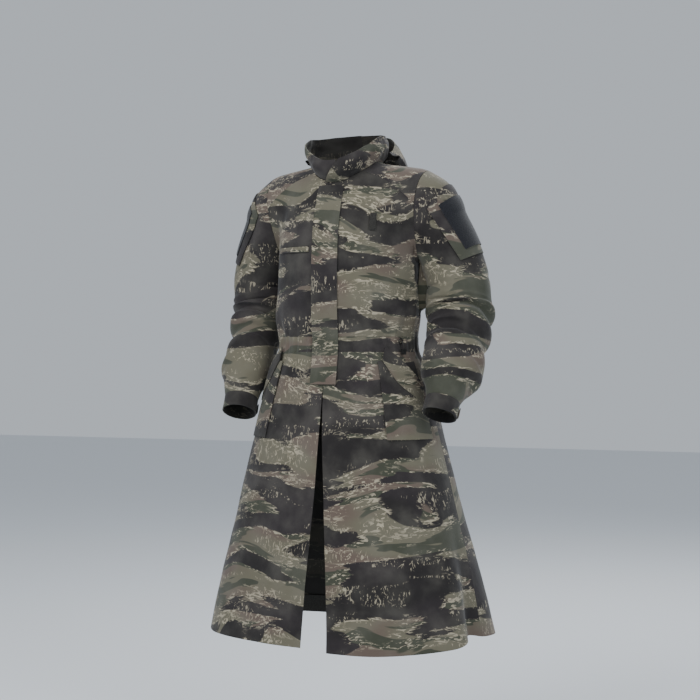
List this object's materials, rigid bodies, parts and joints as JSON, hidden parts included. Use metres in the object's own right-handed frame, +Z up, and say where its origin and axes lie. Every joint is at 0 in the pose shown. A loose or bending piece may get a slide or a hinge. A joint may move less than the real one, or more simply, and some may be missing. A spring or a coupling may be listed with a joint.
{
  "type": "long tactical parka",
  "caption": "Calf-length hooded field parka in tiger-stripe camouflage, hollow and worn shape, with fly front, slit skirt, sleeve loop panels and slanted hip pockets.",
  "frame": {"origin": "between the shoulders at the base of the neck, where the wearer's shoulders carry the coat", "axes": "+Z up, +X towards the wearer's left, the front faces -Y"},
  "size_m": [0.7741, 0.5776, 1.3569],
  "materials": {
    "camouflage": "matte ripstop-weight cotton printed with dark tiger stripes",
    "dark_cloth": "plain dark tape and cord",
    "loop_pile": "black hook-and-loop pile",
    "hardware": "matte black"
  },
  "bodies": {
    "root": {"back": "camouflage", "hood": "camouflage", "front_fly": "camouflage", "chest_welt_right": "camouflage", "collar_left": "camouflage", "collar_right": "camouflage", "front_left": "camouflage", "yoke_left": "camouflage", "sleeve_left": "camouflage", "cuff_left": "camouflage", "cuff_tab_left": "camouflage", "sleeve_pocket_left": "camouflage", "skirt_front_left": "camouflage", "skirt_back_left": "camouflage", "waistband_front_left": "camouflage", "hip_pocket_left": "camouflage", "hip_flap_left": "camouflage", "front_right": "camouflage", "yoke_right": "camouflage", "sleeve_right": "camouflage", "cuff_right": "camouflage", "cuff_tab_right": "camouflage", "sleeve_pocket_right": "camouflage", "skirt_front_right": "camouflage", "skirt_back_right": "camouflage", "waistband_front_right": "camouflage", "hip_pocket_right": "camouflage", "hip_flap_right": "camouflage", "waistband_back": "camouflage", "hem_facing_back": "dark_cloth", "chest_tab_left": "dark_cloth", "drawcord_left": "dark_cloth", "drawcord_right": "dark_cloth", "sleeve_loop_panel_left": "loop_pile", "sleeve_loop_panel_right": "loop_pile", "waist_eyelet_left": "hardware", "waist_eyelet_right": "hardware", "cord_lock_left": "hardware", "cord_lock_right": "hardware"}
  },
  "joints": []
}
